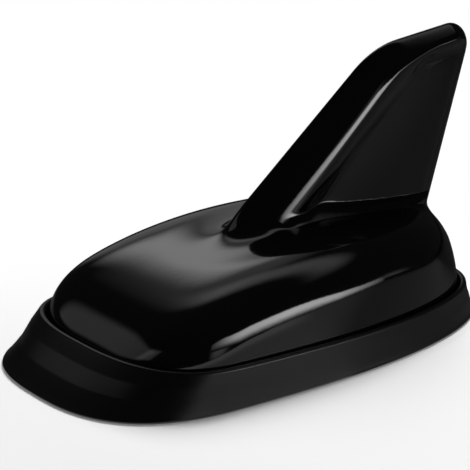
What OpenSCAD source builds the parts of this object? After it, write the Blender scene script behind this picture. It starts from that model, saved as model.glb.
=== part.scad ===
// Shark fin aerial for a car roof: a gloss cover with a fin, a soft skirt, and the
// aerials inside it. X runs from the nose to the fin, Z points up, and the roof is
// the plane z = 0. The middle of the skirt lies at x = 0 before the frame shift.

/* [Skirt] */
// Length of the skirt on the roof
skirt_l = 137; // [120:1:150]
// Width of the skirt on the roof
skirt_w = 75.4; // [68:0.2:82]
// Distance of the widest section from the nose
widest_in = 39; // [34:0.5:46]
// Roundness of the nose in plan, 2 is an ellipse
nose_fullness = 2.7; // [2.3:0.1:3]
// Roundness of the tail in plan, 2 is an ellipse
tail_fullness = 2.45; // [2.1:0.05:2.8]
// Height of the lip at the middle of the length
lip_h = 10.2; // [8:0.1:12]
// How much higher than that the lip is at the nose
lip_rise = 1.1; // [0:0.1:2]
// Flare of the skirt at the nose
flare_nose = 12.6; // [9:0.2:15]
// Flare of the skirt at the sides
flare_side = 1.2; // [1:0.1:3]
// Flare of the skirt at the tail
flare_tail = 3.4; // [1:0.1:4.5]
// Bow of the flare at the nose and the sides, 1 is straight and less is hollow
bow_nose = 0.85; // [0.4:0.05:1]
// Bow of the flare at the tail
bow_tail = 0.5; // [0.4:0.05:1]
// Width of the lip's top
lip_t = 1.6; // [1.2:0.1:2]
// Thickness of the flange that the cover clamps
flange_t = 1.2; // [0.8:0.1:2]
// How far the flange reaches in past the cover's wall
flange_in = 1.6; // [0.8:0.1:2.4]

/* [Cover] */
// Wall of the cover
wall = 2.2; // [1.8:0.1:2.6]
// Groove between the lip and the cover
cover_gap = 0.5; // [0.3:0.1:1]
// Height of the dome above the roof
dome_h = 31.8; // [28:0.1:34]
// Distance of the dome's highest point from the tail
peak_in = 50; // [44:0.5:58]
// Fall of the crest from there to the tail
crest_fall = 2.8; // [2.2:0.1:4]
// Fullness of the crest towards the nose
nose_curve = 2.1; // [1.8:0.01:2.3]
// Fullness of the crest towards the tail
tail_curve = 5.5; // [4:0.1:6.5]
// Fullness across of the sections ahead of the fin
front_fullness = 6.8; // [6:0.1:8]
// Fullness in height of the same sections, lower for more draft on the sides
front_draft = 3.2; // [2.8:0.1:5]
// Fullness of the section at the tail
rear_fullness = 1.7; // [1.6:0.1:2.6]
// Distance from the tail over which the sections get rounder
ease_in = 54; // [43:1:68]

/* [Fin] */
// Length of the fin at the level of the dome's top
fin_chord = 70.2; // [66:0.1:74]
// Slope of the leading edge
le_angle = 40.6; // [37:0.1:45]
// Distance of the trailing edge from the tail, at the same level
te_in = 9.1; // [8:0.1:14]
// Lean of the trailing edge from upright
te_lean = 17.1; // [12:0.1:19]
// Height of the top line where it meets the trailing edge
fin_h = 78.5; // [72:0.1:82]
// Slope of the top line
top_slope = 7.3; // [4:0.1:10]
// Radius of the bend between leading edge and top
bend_r = 27.7; // [20:0.1:34]
// Radius of the tip
tip_r = 6.2; // [4.5:0.1:7]
// Half thickness at the ridge, at the foot
ridge_low = 8.3; // [7:0.1:9]
// Half thickness at the ridge, at the top
ridge_high = 3.8; // [3.4:0.1:4.4]
// Half thickness of the recessed panel, at the foot
panel_low = 3.2; // [3:0.1:3.6]
// Half thickness of the recessed panel, at the top
panel_high = 1.9; // [1.7:0.1:2.2]
// Depth of the border along the leading edge
border_front = 9; // [8:0.1:10]
// Depth of the border along the top
border_top = 3.7; // [3.2:0.1:4.4]
// Run of the recess's front wall
slope_front = 6; // [4:0.1:7]
// Run of the recess's top wall
slope_top = 3.5; // [2.5:0.1:4.5]
// Run of the recess's shelf at the foot
slope_foot = 1.4; // [1.2:0.1:2]
// Height of the shelf's edge above the dome's top, at the leading edge
shelf_rise = 1.3; // [1.2:0.1:2.4]
// Slope of the shelf towards the tail
shelf_slope = 2.2; // [1.4:0.1:2.6]
// Radius of the leading edge, at the foot
edge_low = 2.6; // [2.2:0.1:3]
// Radius of the leading edge, at the top
edge_high = 0.8; // [0.7:0.05:1]
// Radius of the top and trailing edges
edge_rear = 1.3; // [1:0.1:1.6]
// Narrowing of the fin towards the trailing edge
fin_taper = 0.45; // [0.3:0.05:0.55]
// Reach of the fillet at the fin's foot
foot_r = 4.5; // [3.5:0.1:5.5]

/* [Base] */
// Thickness of the adhesive pad
pad_t = 0.8; // [0.6:0.1:1.2]
// Thickness of the base plate
base_t = 2.2; // [2:0.1:2.8]
// How far the base plate's edge lies inside the cover's outer face
plate_in = 0.5; // [0.3:0.1:1]
// How far the pad's edge lies inside the base plate's edge
pad_in = 3; // [2:0.5:5]
// Distance of the lead's hole behind the wide part of the board
lead_in = 6; // [4:0.5:9]
// Radius of the grommet's bore
lead_r = 2.2; // [1.8:0.1:2.8]
// Wall of the grommet in the base plate's hole
grommet_wall = 2.8; // [2:0.1:3.4]
// Distance of the two front screw bosses from the nose
boss_front_in = 38; // [36:0.5:44]
// Distance of the two rear screw bosses from the tail
boss_rear_in = 31; // [29:0.5:35]
// How far the bosses stand inside the cover's wall
boss_in = 9; // [7:0.5:10]
// Radius of a screw boss
boss_r = 2.5; // [2.2:0.1:2.8]
// Shank radius of the cover's screws
cover_screw_r = 1.25; // [1:0.05:1.4]

/* [Board] */
// Height of the board above the base plate
board_gap = 4; // [3.6:0.1:5]
// Thickness of the board
board_t = 1.6; // [1.2:0.1:2]
// Distance of the board's front end from the nose
board_front_in = 23; // [22:0.5:24]
// Distance of the board's rear end from the tail
board_rear_in = 21; // [19:0.5:22]
// Half width of the board behind the patch
board_half = 11.5; // [11:0.1:12]
// Radius of the board's standoffs
post_r = 2.6; // [2.3:0.1:3]
// Shank radius of the board's screws
board_screw_r = 0.9; // [0.8:0.05:1.1]

/* [Patch] */
// Side of the square patch
patch_w = 25; // [22:0.5:26]
// Thickness of the patch
patch_t = 4; // [3:0.1:5]
// Distance of the patch's middle behind the board's front end
patch_in = 19; // [18:0.5:21]

/* [Mast] */
// Thickness of the mast board
mast_t = 1; // [0.8:0.1:1.2]
// Length of the mast board's foot
mast_l = 34; // [30:0.5:38]
// Distance of the foot's rear end ahead of the fin's trailing edge
mast_in = 14; // [14:0.1:18]
// Height of the mast board's holder
holder_h = 5; // [4:0.5:6]
// Wall of the holder on either side of the mast board
holder_wall = 1.7; // [1.4:0.1:2]
// Clearance round the mast board in the fin
mast_gap = 1.5; // [1:0.1:3]
// Width of the copper track
track_w = 1; // [0.8:0.1:1.4]
// Spacing of the track's runs
track_pitch = 3; // [2.4:0.1:4]

/* [Hidden] */
$fn = 48;

function lerp(a, b, t) = a + (b - a) * t;
function clamp01(t) = max(0, min(1, t));
function smooth(t) = let (c = clamp01(t)) c * c * (3 - 2 * c);
function power(v, e) = sign(v) * pow(abs(v), e);
// Smooth minimum of two lengths, rounded over the width r
function soft_min(a, b, r) = let (h = clamp01(0.5 + (b - a) / (2 * r)))
    lerp(b, a, h) - r * h * (1 - h);

// Stations, measured from the two ends
nose_x = -skirt_l / 2;
tail_x = skirt_l / 2;
widest_x = nose_x + widest_in;
peak_x = tail_x - peak_in;
ease_x = tail_x - ease_in;
te_x = tail_x - te_in;
le_x = te_x - fin_chord;

// Plan outline, drawn in by [nose, side, tail]
function plan(a, inset) =
    let (c = cos(a),
         n = c < 0 ? nose_fullness : tail_fullness,
         reach = c < 0 ? widest_x - nose_x - inset[0] : tail_x - widest_x - inset[2])
    [widest_x + power(c, 2 / n) * reach, power(sin(a), 2 / n) * (skirt_w / 2 - inset[1])];
flare = [flare_nose, flare_side, flare_tail];
function grow(inset, d) = [for (v = inset) v + d];
module outline(inset) polygon([for (i = [0:sides - 1]) plan(360 * i / sides, inset)]);

flange_z = pad_t + base_t;
rim_z = flange_z + flange_t;
rim = grow(flare, lip_t + cover_gap);
sides = 64;
half = sides / 2;

// Dome: half width and crest at a station, both drawn in by t
function dome_half(x, t) =
    let (front = x < widest_x,
         n = front ? nose_fullness : tail_fullness,
         reach = front ? widest_x - nose_x - rim[0] - t : tail_x - rim[2] - t - widest_x,
         u = abs(x - widest_x) / reach)
    (skirt_w / 2 - rim[1] - t) * pow(max(0, 1 - pow(u, n)), 1 / n);
function crest(x, t) =
    let (from = nose_x + rim[0] + t,
         to = tail_x - rim[2] - t,
         rise = dome_h - rim_z - t,
         front = x < peak_x,
         u = front ? (peak_x - x) / (peak_x - from) : (x - peak_x) / (to - peak_x),
         n = front ? nose_curve : tail_curve,
         fall = front ? 0 : crest_fall * u)
    (rise - fall) * pow(max(0, 1 - pow(u, n)), 1 / n);
function dome_z(x, y, t) =
    let (ease = smooth((x - ease_x) / ease_in),
         n = lerp(front_fullness, rear_fullness, ease),
         m = lerp(front_draft, rear_fullness, ease),
         w = dome_half(x, t),
         v = w > 0 ? min(1, abs(y) / w) : 1)
    rim_z + crest(x, t) * pow(max(0, 1 - pow(v, n)), 1 / m);

// Fin: its three edge lines in the plane y = 0, as a point and an inward normal
le_n = [sin(le_angle), -cos(le_angle)];
top_n = [sin(top_slope), -cos(top_slope)];
te_n = [-cos(te_lean), sin(te_lean)];
le_p = [le_x, dome_h];
te_p = [te_x, dome_h];
// Where two lines meet when each is drawn in by r
function meet(p1, n1, p2, n2, r) =
    let (a = n1 * p1 + r, b = n2 * p2 + r, d = n1[0] * n2[1] - n1[1] * n2[0])
    [(a * n2[1] - b * n1[1]) / d, (n1[0] * b - n2[0] * a) / d];
te_top = [te_x + (fin_h - dome_h) * tan(te_lean), fin_h];
bend_c = meet(le_p, le_n, te_top, top_n, bend_r);
tip_c = meet(te_p, te_n, te_top, top_n, tip_r);
function turned(a, b) = a[0] * b[1] - a[1] * b[0];
// Depth inside the rounded outline of the fin
function fin_depth(q) =
    let (d = [le_n * (q - le_p), top_n * (q - te_top), te_n * (q - te_p)],
         v = q - bend_c, w = q - tip_c)
    turned(v, -le_n) >= 0 && turned(-top_n, v) >= 0 ? min(bend_r - norm(v), d[2]) :
    turned(w, -top_n) >= 0 && turned(-te_n, w) >= 0 ? min(tip_r - norm(w), d[0]) :
    min(d);
// Half thickness of the fin at a point of that plane
function fin_half(q) =
    let (h = clamp01((q[1] - dome_h) / (fin_h - dome_h)),
         d_le = max(0, le_n * (q - le_p)),
         d_top = max(0, top_n * (q - te_top)),
         d_te = max(0, te_n * (q - te_p)),
         d = max(0, fin_depth(q)),
         ridge = lerp(ridge_low, ridge_high, h),
         panel = lerp(panel_low, panel_high, h),
         near = [for (v = [d_le, d_top, d_te]) pow(v + 1, -2)],
         all = near * [1, 1, 1],
         r = near * [lerp(edge_low, edge_high, h), edge_rear, edge_rear] / all,
         k = near * [0.3, 0.5, 0.8] / all,
         edge = sqrt(k * k * d * d + 2 * r * d),
         chord = d_le / (d_le + d_te + 0.001),
         side = ridge * (1 - fin_taper * chord * chord),
         flank = soft_min(edge, side, 1.2),
         e = [border_front + slope_front - d_le, border_top + slope_top - d_top,
              shelf_z(q[0]) + slope_foot - q[1]],
         run = [slope_front, slope_top, slope_foot],
         ramp = [for (i = [0:2]) pow(max(0, e[i]) / run[i], 1.6)],
         recess = panel + (ridge - panel) * norm(ramp))
    d <= 0 ? 0 : soft_min(flank, recess, max(0.01, min(0.9, d)));

// Levels of the fin's rings, each a line z = level[0] + level[1] * x
shelf_line = [dome_h + shelf_rise + le_x * tan(shelf_slope), -tan(shelf_slope)];
function shelf_z(x) = shelf_line * [1, x];
function below_top(d) = [fin_h - d / cos(top_slope) - te_top[0] * tan(top_slope), tan(top_slope)];
function raised(line, d) = [line[0] + d, line[1]];
panel_levels = 9;
// Depth below the top line of the tip's rearmost point, kept inside the recess's top wall
tip_depth = border_top + slope_top * max(0.45, min(0.9,
    (tip_r * (1 + sin(top_slope)) - border_top) / slope_top));
fin_levels = [
    for (i = [0:2]) raised(shelf_line, slope_foot * i / 2),
    for (i = [1:panel_levels])
        lerp(raised(shelf_line, slope_foot), below_top(border_top + slope_top), i / panel_levels),
    for (d = [tip_depth, border_top + slope_top * 0.3, border_top]) below_top(d),
    for (f = [0.62, 0.35, 0.16, 0.05, 0.006]) below_top(border_top * f)];
// Station at which a level lies d inside an edge line, and where it meets a round corner
function station(n, p, d, level) = (d + n * p - n[1] * level[0]) / (n[0] + n[1] * level[1]);
function on_arc(c, r, level, side) =
    let (a = 1 + pow(level[1], 2),
         b = level[1] * (level[0] - c[1]) - c[0],
         k = c * c + level[0] * (level[0] - 2 * c[1]) - r * r)
    (-b + side * sqrt(max(0, b * b - a * k))) / a;
function at_level(x, level) = [x, level * [1, x]];
function front_x(level) =
    let (x = station(le_n, le_p, 0, level), v = at_level(x, level) - bend_c)
    turned(v, -le_n) >= 0 ? on_arc(bend_c, bend_r, level, -1) : x;
function rear_x(level) =
    let (x = station(te_n, te_p, 0, level), v = at_level(x, level) - tip_c)
    turned(-te_n, v) >= 0 ? on_arc(tip_c, tip_r, level, 1) : x;
// Stations along a level: close together round both edges, and on the ridge and panel lines
ridge_j = 9;
panel_j = 14;
function stations(level, a, b) =
    let (r = min(station(le_n, le_p, border_front, level), lerp(a, b, 0.6)),
         f = min(station(le_n, le_p, border_front + slope_front, level), lerp(a, b, 0.8)))
    [for (j = [0:half])
        j <= ridge_j ? lerp(a, r, 1 - cos(90 * j / ridge_j)) :
        j <= panel_j ? lerp(r, f, (j - ridge_j) / (panel_j - ridge_j)) :
        lerp(f, b, sin(90 * (j - panel_j) / (half - panel_j)))];
function fin_point(j, x, z) = [x, j == 0 || j == half ? 0 : -fin_half([x, z]), z];
function fin_ring(level) =
    let (xs = stations(level, front_x(level), rear_x(level)))
    [for (j = [0:half]) fin_point(j, xs[j], level * [1, xs[j]])];
// The foot of the fin lies between the crest and the shelf
function foot_z(x) = lerp(rim_z + crest(x, 0), shelf_z(x), 0.6);
function settle(x, n) = n == 0 ? x : settle(le_x + (foot_z(x) - dome_h) / tan(le_angle), n - 1);
function settle_rear(x, n) = n == 0 ? x : settle_rear(te_x + (foot_z(x) - dome_h) * tan(te_lean), n - 1);
foot_ring =
    let (xs = stations([dome_h, 0], settle(le_x, 8), settle_rear(te_x, 8)))
    [for (j = [0:half]) fin_point(j, xs[j], foot_z(xs[j]))];

// Whole ring from its near half, which runs nose to tail at y <= 0
function both_sides(h) = [for (j = [0:half]) h[j], for (j = [half - 1:-1:1]) [h[j][0], -h[j][1], h[j][2]]];
function outward(j) =
    j == 0 ? [-1, 0] : j == half ? [1, 0] :
    let (t = foot_ring[j + 1] - foot_ring[j - 1]) [t[1], -t[0]] / norm([t[0], t[1]]);
fillet_ring = [for (j = [0:half])
    let (q = [foot_ring[j][0], foot_ring[j][1]] + foot_r * outward(j)) [q[0], j == 0 || j == half ? 0 : q[1]]];
dome_rings = 13;
function rim_point(j, t) = plan(180 + 180 * j / half, grow(rim, t));
function dome_ring(i) =
    [for (j = [0:half])
        let (r = rim_point(j, 0), f = fillet_ring[j],
             q = lerp(f, r, pow(cos(90 * i / dome_rings), 0.62)))
        [q[0], j == 0 || j == half ? 0 : q[1], i == 0 ? rim_z : dome_z(q[0], q[1], 0)]];
fillet_steps = 4;
function fillet_arc(i) =
    [for (j = [0:half])
        let (a = 90 * i / fillet_steps, top = foot_ring[j], q = fillet_ring[j],
             low = dome_z(q[0], q[1], 0),
             p = lerp([top[0], top[1]], q, 1 - pow(sin(a), 0.9)))
        [p[0], p[1], lerp(low, top[2], 1 - pow(cos(a), 0.9))]];

// Inside: the dome drawn in by the wall, and a slot up into the fin
slot_half = 1.5;
slot_front = 12;
slot_rear = 5;
slot_top = 24;
inner_rings = 10;
slot_le = le_x + slot_front;
slot_te = te_x - slot_rear;
function slot_ring(rise) =
    [for (j = [0:half])
        let (u = (1 - cos(180 * j / half)) / 2,
             x = lerp(slot_le + rise / tan(le_angle), slot_te + rise * tan(te_lean), u),
             y = -slot_half * pow(1 - pow(abs(2 * u - 1), 8), 0.5),
             low = lerp(slot_le, slot_te, u))
        [x, j == 0 || j == half ? 0 : y, dome_z(low, y, wall) + rise]];
function inner_ring(i) =
    let (s = slot_ring(0))
    [for (j = [0:half])
        let (r = rim_point(j, wall),
             q = lerp([s[j][0], s[j][1]], r, pow(cos(90 * i / inner_rings), 0.62)))
        [q[0], j == 0 || j == half ? 0 : q[1], i == 0 ? rim_z : dome_z(q[0], q[1], wall)]];

outer_stack = [for (i = [0:dome_rings - 1]) dome_ring(i),
               for (i = [0:fillet_steps - 1]) fillet_arc(i),
               foot_ring,
               for (level = fin_levels) fin_ring(level)];
inner_stack = [for (i = [0:inner_rings]) inner_ring(i), for (h = [1, 2, 3]) slot_ring(slot_top * h / 3)];

// Closed skin over stacked rings: the outer stack, the inner stack and the rim between
module ring_skin(outer, inner) {
    stack = concat([for (r = outer) both_sides(r)], [for (r = inner) both_sides(r)]);
    points = [for (r = stack) each r];
    no = len(outer);
    ni = len(inner);
    function id(r, j) = r * sides + j % sides;
    function quad(a, b, c, d, flip) = flip ? [[a, c, b], [a, d, c]] : [[a, b, c], [a, c, d]];
    faces = [
        for (r = [0:no - 2]) for (j = [0:sides - 1])
            each quad(id(r, j), id(r, j + 1), id(r + 1, j + 1), id(r + 1, j), true),
        for (r = [no:no + ni - 2]) for (j = [0:sides - 1])
            each quad(id(r, j), id(r, j + 1), id(r + 1, j + 1), id(r + 1, j), false),
        for (j = [0:sides - 1]) each quad(id(0, j), id(0, j + 1), id(no, j + 1), id(no, j), false),
        each cap(no - 1, true),
        each cap(no + ni - 1, false)];
    function cap(r, flip) = [
        for (j = [1:half - 2]) each quad(id(r, j), id(r, j + 1), id(r, sides - j - 1), id(r, sides - j), flip),
        flip ? [id(r, 0), id(r, sides - 1), id(r, 1)] : [id(r, 0), id(r, 1), id(r, sides - 1)],
        flip ? [id(r, half), id(r, half - 1), id(r, half + 1)] : [id(r, half), id(r, half + 1), id(r, half - 1)]];
    polyhedron(points, faces, convexity = 8);
}

// The fin may reach past the skirt's tail: the whole part is centred over its own length
fin_reach = max([for (level = fin_levels) rear_x(level)]);
frame_shift = (tail_x - max(tail_x, fin_reach)) / 2;
module placed() {
    translate([frame_shift, 0, 0]) children();
}
module at_points(points, z) {
    for (p = points) translate([p[0], p[1], z]) children();
}
function mirrored_pairs(points) = [for (p = points) for (side = [-1, 1]) [p[0], side * p[1]]];

// Screws: a pan head with a cross recess over a pointed shank
running = 0.05;
recess_w = 0.6;
function boss_y(x) = dome_half(x, wall) - boss_in;
boss_front = nose_x + boss_front_in;
boss_rear = tail_x - boss_rear_in;
cover_holes = mirrored_pairs([[boss_front, boss_y(boss_front)], [boss_rear, boss_y(boss_rear)]]);
cover_screw_l = 9;
cover_head_r = cover_screw_r * 1.76;
cover_head_h = 1.1;
module screw(head_r, head_h, shank_r, length) {
    difference() {
        rotate_extrude() polygon([[0, -length], [shank_r * 0.5, -length], [shank_r, -length + shank_r],
            [shank_r, 0], [head_r, 0], [head_r, head_h * 0.5], [head_r * 0.8, head_h * 0.88],
            [head_r * 0.55, head_h], [0, head_h]]);
        for (turn = [0, 90]) rotate([0, 0, turn])
            translate([-head_r * 0.55, -recess_w / 2, head_h * 0.35]) cube([head_r * 1.1, recess_w, head_h]);
    }
}

module boss(p) {
    top = dome_z(p[0], p[1], wall) + wall / 2;
    translate([p[0], p[1], flange_z]) cylinder(r = boss_r, h = top - flange_z);
}
module cover() {
    color("#0c0c0e") placed() difference() {
        union() {
            ring_skin(outer_stack, inner_stack);
            for (p = cover_holes) boss(p);
        }
        at_points(cover_holes, flange_z - 1) cylinder(r = cover_screw_r + running, h = cover_screw_l + 2);
    }
}

// Skirt: one section carried round the plan, its insets following the flare
seat_gap = 0.2;
toe_r = 0.8;
lip_edge = 0.5;
flare_steps = 5;
flare_bow = [bow_nose, bow_nose, bow_tail];
foot_w = 1.2;
groove_low = 1.2;
groove_high = 2.4;
plate_edge = grow(rim, plate_in);
seat = grow(plate_edge, -seat_gap);
flange_end = grow(rim, wall + flange_in);
function lip_z(x) = lip_h - lip_rise * x / tail_x;
function skirt_section(a) =
    let (top = lip_z(plan(a, [0, 0, 0])[0]),
         toe = [toe_r, toe_r, toe_r],
         foot = [foot_w, foot_w, foot_w],
         heel = grow(seat, -foot_w))
    [[toe, 0],
     [[0, 0, 0], toe_r],
     for (i = [1:flare_steps])
         let (t = i / flare_steps)
         [[for (k = [0:2]) flare[k] * pow(t, flare_bow[k])], lerp(toe_r, top - lip_edge, t)],
     [grow(flare, lip_edge * 0.7), top],
     [grow(flare, lip_t - lip_edge * 0.7), top],
     [grow(flare, lip_t), top - lip_edge],
     [grow(flare, lip_t), rim_z],
     [flange_end, rim_z],
     [flange_end, flange_z],
     [seat, flange_z],
     [seat, 0],
     [heel, 0],
     [lerp(foot, heel, 0.75), groove_high],
     [lerp(foot, heel, 0.25), groove_low],
     [foot, 0]];
module skirt() {
    sections = [for (i = [0:sides - 1]) let (a = 360 * i / sides)
        [for (q = skirt_section(a)) let (p = plan(a, q[0])) [p[0], p[1], q[1]]]];
    count = len(sections[0]);
    function id(i, k) = (i % sides) * count + k % count;
    color("#2b2a2c") placed() polyhedron([for (s = sections) each s],
        [for (i = [0:sides - 1]) for (k = [0:count - 1])
            each [[id(i, k), id(i, k + 1), id(i + 1, k + 1)], [id(i, k), id(i + 1, k + 1), id(i + 1, k)]]],
        convexity = 8);
}

// Base plate with its standoffs, the pad under it and the grommet in its hole
board_z = flange_z + board_gap;
board_top = board_z + board_t;
board_x0 = nose_x + board_front_in;
board_x1 = tail_x - board_rear_in;
hole_in = 3.2;
patch_x = board_x0 + patch_in;
patch_margin = 1.5;
patch_half = patch_w / 2;
front_half = patch_half + patch_margin;
step_x = patch_x + front_half;
lead_x = step_x + lead_in;
board_holes = mirrored_pairs([[board_x0 + hole_in, front_half - hole_in],
                              [board_x1 - hole_in, board_half - hole_in]]);
board_screw_l = 5;
board_head_h = 1.1;
grommet_r = lead_r + grommet_wall;
grommet_lip = 1.6;
grommet_top = 1.4;
pad_clear = 0.6;
module base_plate() {
    color("#4a4b4e") placed() difference() {
        union() {
            translate([0, 0, pad_t]) linear_extrude(base_t) outline(plate_edge);
            at_points(board_holes, flange_z) cylinder(r = post_r, h = board_gap);
        }
        at_points(board_holes, board_z - board_screw_l - 0.5)
            cylinder(r = board_screw_r + running, h = board_screw_l + 1);
        at_points(cover_holes, 0) cylinder(r = cover_screw_r + 0.15, h = flange_z + 1);
        at_points(cover_holes, pad_t - 1) cylinder(r = cover_head_r + 0.3, h = 1 + cover_head_h + running);
        translate([lead_x, 0, 0]) cylinder(r = grommet_r, h = flange_z + 1);
    }
}
module adhesive_pad() {
    color("#6b6c6e") placed() difference() {
        linear_extrude(pad_t) outline(grow(plate_edge, pad_in));
        translate([lead_x, 0, -1]) cylinder(r = grommet_r + grommet_lip + pad_clear, h = pad_t + 2);
    }
}
module cover_screws() {
    color("#b9bbbd") placed() at_points(cover_holes, pad_t + cover_head_h + running)
        mirror([0, 0, 1]) screw(cover_head_r, cover_head_h, cover_screw_r, cover_screw_l);
}
module lead_grommet() {
    lip_r = grommet_r + grommet_lip;
    low = pad_t * 0.25;
    color("#1d1d1f") placed() translate([lead_x, 0, 0]) rotate_extrude()
        polygon([[lead_r, low], [lip_r - 0.3, low], [lip_r, pad_t - 0.2], [lip_r, pad_t], [grommet_r, pad_t],
            [grommet_r, flange_z], [lip_r, flange_z], [lip_r, flange_z + 0.6],
            [lip_r - 0.8, flange_z + grommet_top], [lead_r, flange_z + grommet_top]]);
}

// Board with what is soldered on it
corner_r = 2;
pin_r = 0.45;
module board_plan() {
    offset(r = corner_r) offset(delta = -corner_r) union() {
        translate([board_x0, -front_half]) square([step_x - board_x0, 2 * front_half]);
        translate([board_x0, -board_half]) square([board_x1 - board_x0, 2 * board_half]);
    }
}
module main_board() {
    color("#1f5a3a") placed() difference() {
        translate([0, 0, board_z]) linear_extrude(board_t) board_plan();
        at_points(board_holes, board_z - 1) cylinder(r = board_screw_r + 0.2, h = board_t + 2);
        translate([patch_x, 0, board_z - 1]) cylinder(r = pin_r + 0.2, h = board_t + 2);
    }
}
module board_screws() {
    color("#c3c4c6") placed() at_points(board_holes, board_top)
        screw(board_screw_r * 2, board_head_h, board_screw_r, board_screw_l);
}

tape_t = 0.5;
electrode_t = 0.15;
ceramic_z = board_top + tape_t;
electrode_z = ceramic_z + patch_t;
module patch_tape() {
    color("#e6e6e2") placed() translate([patch_x, 0, board_top]) difference() {
        linear_extrude(tape_t) square(patch_w - 1, center = true);
        translate([0, 0, -1]) cylinder(r = pin_r + 0.6, h = tape_t + 2);
    }
}
module patch_ceramic() {
    color("#cfc7b4") placed() translate([patch_x, 0, ceramic_z]) difference() {
        linear_extrude(patch_t) offset(r = 1) square(patch_w - 2, center = true);
        translate([0, 0, -1]) cylinder(r = pin_r + 0.15, h = patch_t + 2);
    }
}
module patch_electrode() {
    side = patch_w - 4;
    cut = 2.4;
    color("#d8d9da") placed() translate([patch_x, 0, electrode_z]) difference() {
        linear_extrude(electrode_t) polygon([[-side / 2, -side / 2], [side / 2 - cut, -side / 2],
            [side / 2, cut - side / 2], [side / 2, side / 2], [cut - side / 2, side / 2],
            [-side / 2, side / 2 - cut]]);
        translate([0, 0, -1]) cylinder(r = pin_r + 0.15, h = electrode_t + 2);
    }
}
module patch_pin() {
    head_z = electrode_z + electrode_t;
    head_r = 1.1;
    color("#c9a86a") placed() translate([patch_x, 0, 0]) rotate_extrude()
        polygon([[0, board_z - 0.5], [pin_r, board_z - 0.5], [pin_r, head_z], [head_r, head_z],
            [head_r * 0.8, head_z + 0.3], [0, head_z + 0.45]]);
}

// The mast's holder stands on the middle of the board, the other pieces beside it
mast_x1 = te_x - mast_in;
mast_x0 = mast_x1 - mast_l;
sheet = 0.3;
side_gap = 0.8;
holder_half = mast_t / 2 + holder_wall;
can_l = 26;
can_w = board_half - holder_half - 2 * side_gap;
can_h = 3;
can_y = -(holder_half + side_gap + can_w);
module shield_can() {
    color("#b4b6b8") placed() translate([mast_x0, can_y, board_top]) difference() {
        cube([can_l, can_w, can_h]);
        translate([sheet, sheet, -1]) cube([can_l - 2 * sheet, can_w - 2 * sheet, can_h + 1 - sheet]);
        for (i = [1:7]) for (j = [1:2])
            translate([can_l * i / 8, can_w * j / 3, can_h - 1]) cylinder(r = 0.6, h = 2);
    }
}
end_plate = 0.8;
end_w = 6.4;
former_r = 2;
former_l = 12;
coil_x = mast_x0 + 1;
coil_y = holder_half + side_gap + end_w / 2;
module coil_former() {
    color("#d9d6cc") placed() translate([coil_x, coil_y, board_top + end_w / 2]) {
        rotate([0, 90, 0]) cylinder(r = former_r, h = former_l);
        for (x = [0, former_l - end_plate])
            translate([x, -end_w / 2, -end_w / 2]) cube([end_plate, end_w, end_w]);
    }
}
wire = 0.65;
module coil_winding() {
    span = former_l - 2 * end_plate - 0.4;
    turns = floor(span / wire);
    low = former_r + running;
    color("#b5643a") placed() translate([coil_x + end_plate + 0.2, coil_y, board_top + end_w / 2])
        rotate([0, 90, 0]) rotate_extrude() polygon([
            [low, 0], [low, turns * wire],
            for (i = [turns - 1:-1:0]) each [[low + wire, (i + 0.7) * wire], [low + wire, (i + 0.3) * wire],
                [low + wire * 0.6, i * wire]]]);
}
chip_l = 6.5;
chip_w = 4;
chip_h = 1.4;
chip_gap = 0.4;
parts_gap = 2.5;
parts_x = coil_x + former_l + parts_gap;
parts_pitch = [1.7, 1.9];
parts_count = [3, 4];
chip_x = parts_x + parts_count[0] * parts_pitch[0] + chip_gap;
chip_y = holder_half + side_gap + 1;
module amplifier_chip() {
    color("#222326") placed() translate([chip_x, chip_y, board_top]) {
        translate([0, 0, 0.2]) cube([chip_l, chip_w, chip_h - 0.2]);
        for (i = [0:3]) for (y = [-0.8, chip_w - 0.2])
            translate([1 + i * (chip_l - 2.4) / 3, y, 0]) cube([0.4, 1, 0.5]);
    }
}
part_l = 1.6;
part_w = 0.8;
module chip_parts() {
    color("#9c8a6c") placed() translate([parts_x, holder_half + side_gap, board_top])
        for (i = [0:parts_count[0] - 1]) for (j = [0:parts_count[1] - 1])
            translate([i * parts_pitch[0], j * parts_pitch[1], 0]) {
                cube([part_w, part_l, 0.6]);
                for (y = [0, part_l - 0.3]) translate([0, y, 0]) cube([part_w, 0.3, 0.75]);
            }
}
socket_in = 16;
socket_x = lead_x + socket_in;
socket_y = 6;
module lead_sockets() {
    base = 5;
    flange = 0.8;
    drop = 2.8;
    color("#c8a24a") placed() at_points(mirrored_pairs([[socket_x, socket_y]]), board_z) {
        translate([-base / 2, -base / 2, -flange]) cube([base, base, flange]);
        mirror([0, 0, 1]) difference() {
            cylinder(r = 1.7, h = drop);
            translate([0, 0, flange]) difference() {
                cylinder(r = 1.3, h = drop);
                translate([0, 0, -1]) cylinder(r = 0.35, h = drop);
            }
        }
    }
}

// Mast board: it stands in its holder and runs up the slot inside the fin
holder_floor = 0.8;
grip = 0.05;
mast_low = board_top + holder_floor;
front_gap = mast_gap / sin(le_angle);
slot_front_z = dome_z(slot_le, 0, wall);
slot_rear_z = dome_z(slot_te, 0, wall);
function mast_front(z) = max(mast_x0, slot_le + front_gap + (z - slot_front_z) / tan(le_angle));
mast_rise = slot_top - mast_gap;
mast_bend = slot_front_z + (mast_x0 - slot_le - front_gap) * tan(le_angle);
mast_outline = [
    [mast_x0, mast_low],
    [mast_x0, mast_bend],
    [mast_front(slot_front_z + mast_rise), slot_front_z + mast_rise],
    [slot_te - mast_gap + mast_rise * tan(te_lean), slot_rear_z + mast_rise],
    [slot_te - mast_gap, slot_rear_z],
    [mast_x1, slot_rear_z - (slot_te - mast_gap - mast_x1)],
    [mast_x1, mast_low]];
module upright(t, y) {
    translate([0, y + t / 2, 0]) rotate([90, 0, 0]) linear_extrude(t) children();
}
module mast_board() {
    color("#20603f") placed() upright(mast_t, 0) polygon(mast_outline);
}
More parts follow.
